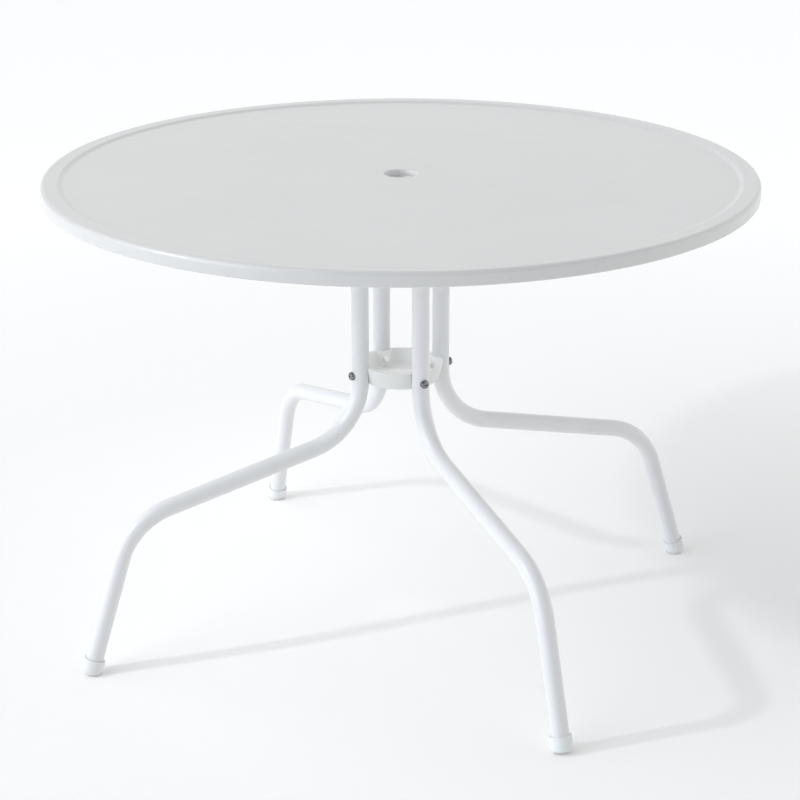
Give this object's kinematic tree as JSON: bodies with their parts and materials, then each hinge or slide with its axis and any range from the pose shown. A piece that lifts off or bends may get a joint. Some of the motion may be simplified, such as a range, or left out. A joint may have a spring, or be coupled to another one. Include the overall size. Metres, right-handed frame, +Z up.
{
  "type": "umbrella patio table",
  "caption": "Round steel patio table with a central umbrella hole, standing on bent tube legs tied together by a small hub pan.",
  "frame": {"origin": "on the floor, on the axis of the umbrella hole", "axes": "+Z up along the umbrella pole; one leg each along +X, +Y, -X and -Y"},
  "size_m": [1.0184, 1.0184, 0.686],
  "materials": {
    "top_paint": "white satin powder coat on pressed sheet steel",
    "frame_paint": "white semi-gloss powder coat on steel tube",
    "hub_paint": "white powder coat, a little warmer than the tubes",
    "plated_steel": "dark zinc plated fastener steel",
    "cap_plastic": "moulded white plastic"
  },
  "bodies": {
    "root": {"table_top": "top_paint", "mounting_dish": "frame_paint", "hub_pan": "hub_paint", "hub_bolts": "plated_steel", "hub_washers": "plated_steel", "hub_nuts": "hub_paint", "top_screws": "plated_steel", "top_washers": "plated_steel", "weld_nuts": "plated_steel", "leg_tube_right": "frame_paint", "leg_flange_right": "frame_paint", "foot_cap_right": "cap_plastic", "leg_tube_back": "frame_paint", "leg_flange_back": "frame_paint", "foot_cap_back": "cap_plastic", "leg_tube_left": "frame_paint", "leg_flange_left": "frame_paint", "foot_cap_left": "cap_plastic", "leg_tube_front": "frame_paint", "leg_flange_front": "frame_paint", "foot_cap_front": "cap_plastic", "stiffening_channel_back_right": "frame_paint", "stiffening_channel_back_left": "frame_paint", "stiffening_channel_front_left": "frame_paint", "stiffening_channel_front_right": "frame_paint"}
  },
  "joints": []
}
